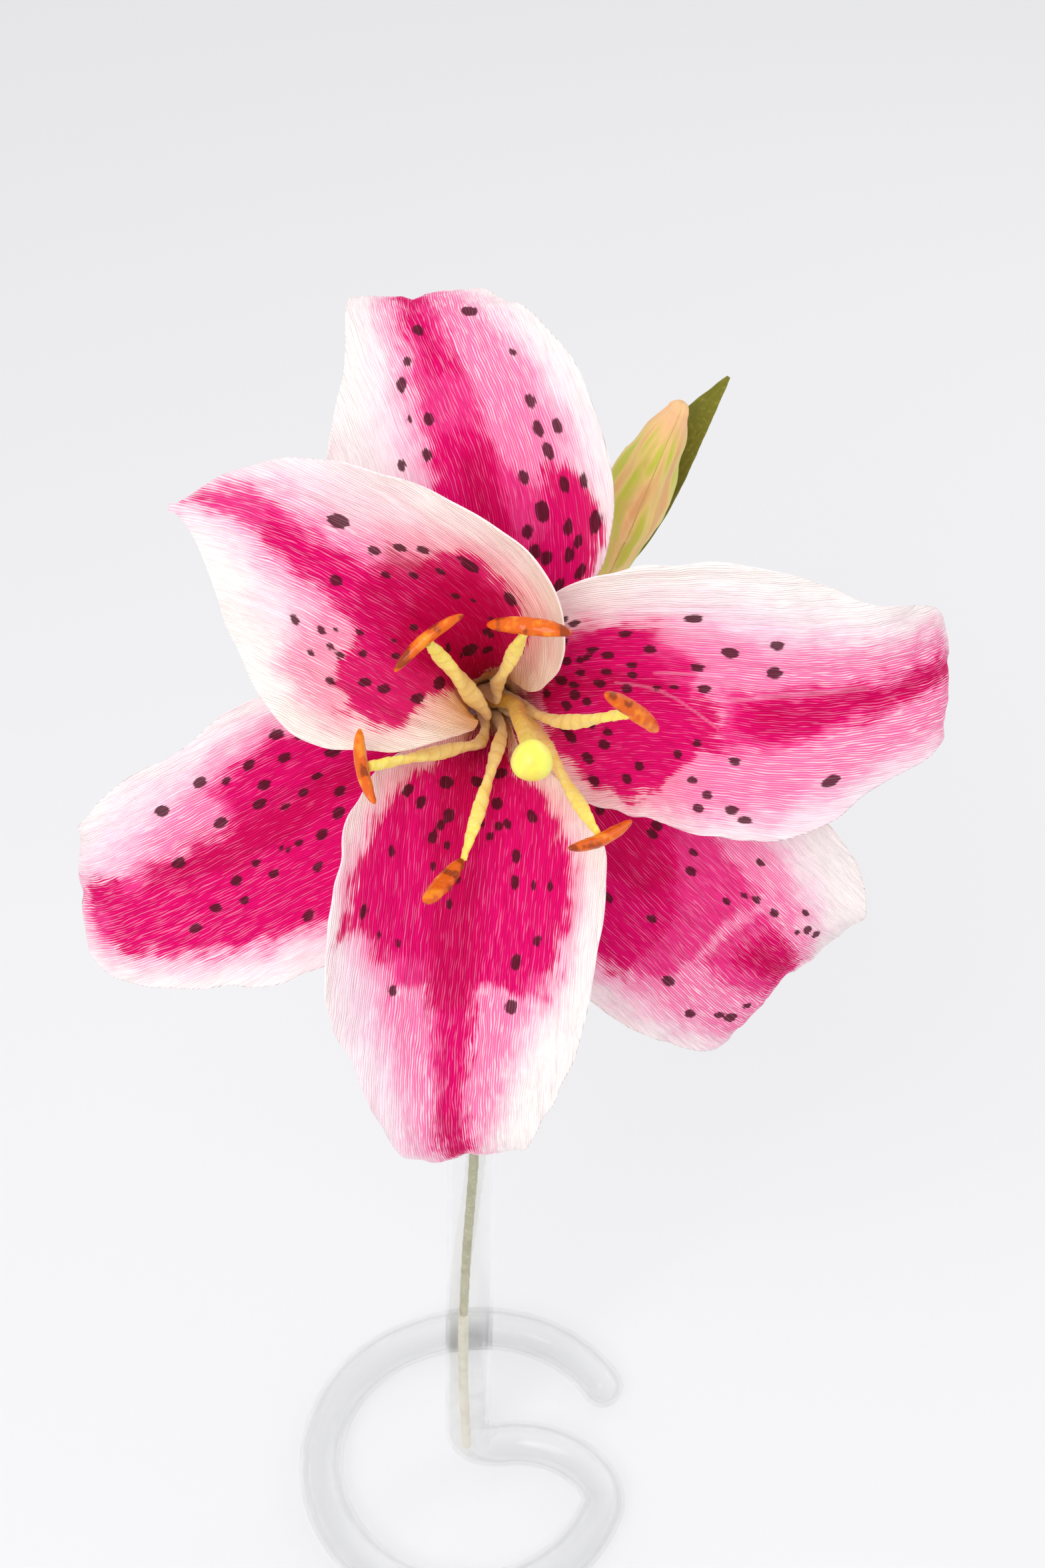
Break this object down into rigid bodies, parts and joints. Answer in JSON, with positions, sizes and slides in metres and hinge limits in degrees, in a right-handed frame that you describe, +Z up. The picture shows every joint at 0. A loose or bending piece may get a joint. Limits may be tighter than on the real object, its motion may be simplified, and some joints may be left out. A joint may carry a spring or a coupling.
{
  "type": "paper stargazer lily in glass tube vase",
  "caption": "Crepe-paper stargazer lily with curled spotted petals, varnished anthers, a bud and a leaf, its taped stem standing in a glass tube vase whose foot bends into a flat ring.",
  "frame": {"origin": "on the table, at the middle of the whole object's box seen from above", "axes": "+Z up along the upright glass tube; the open flower faces -Y; +X is to the right as seen from the flower's front, where the bud and the leaf lean"},
  "size_m": [0.1834, 0.1662, 0.4502],
  "materials": {
    "glass": "clear, smooth, with a faint green tint at the edges",
    "petal_paper": "matte crepe paper with lengthwise wrinkles, brushed magenta over cream edges, dark spots",
    "stem_tape": "olive-green stretched paper tape, slightly waxy",
    "wire_paper": "pale matte paper wound round wire",
    "neck_tape": "green stretched paper tape in overlapping turns",
    "filament_tape": "pale yellow-green twisted paper tape, peach at the foot",
    "anther_varnish": "orange-brown paint under gloss varnish",
    "pistil_paint": "yellow-green painted paper pulp, smooth",
    "bud_paper": "pale yellow-green crepe paper with a pinkish ridge",
    "leaf_paper": "dark olive crepe paper, matte"
  },
  "bodies": {
    "root": {"glass_vase": "glass", "stem_wire": "wire_paper", "stem": "stem_tape", "neck": "neck_tape", "inner_petal_front": "petal_paper", "inner_petal_left": "petal_paper", "inner_petal_right": "petal_paper", "outer_petal_top": "petal_paper", "outer_petal_left": "petal_paper", "outer_petal_right": "petal_paper", "filament_upper_left": "filament_tape", "filament_top": "filament_tape", "filament_right": "filament_tape", "filament_lower_right": "filament_tape", "filament_front": "filament_tape", "filament_left": "filament_tape", "anther_upper_left": "anther_varnish", "anther_top": "anther_varnish", "anther_right": "anther_varnish", "anther_lower_right": "anther_varnish", "anther_front": "anther_varnish", "anther_left": "anther_varnish", "pistil": "pistil_paint", "bud_stalk": "stem_tape", "bud": "bud_paper", "leaf": "leaf_paper"}
  },
  "joints": []
}
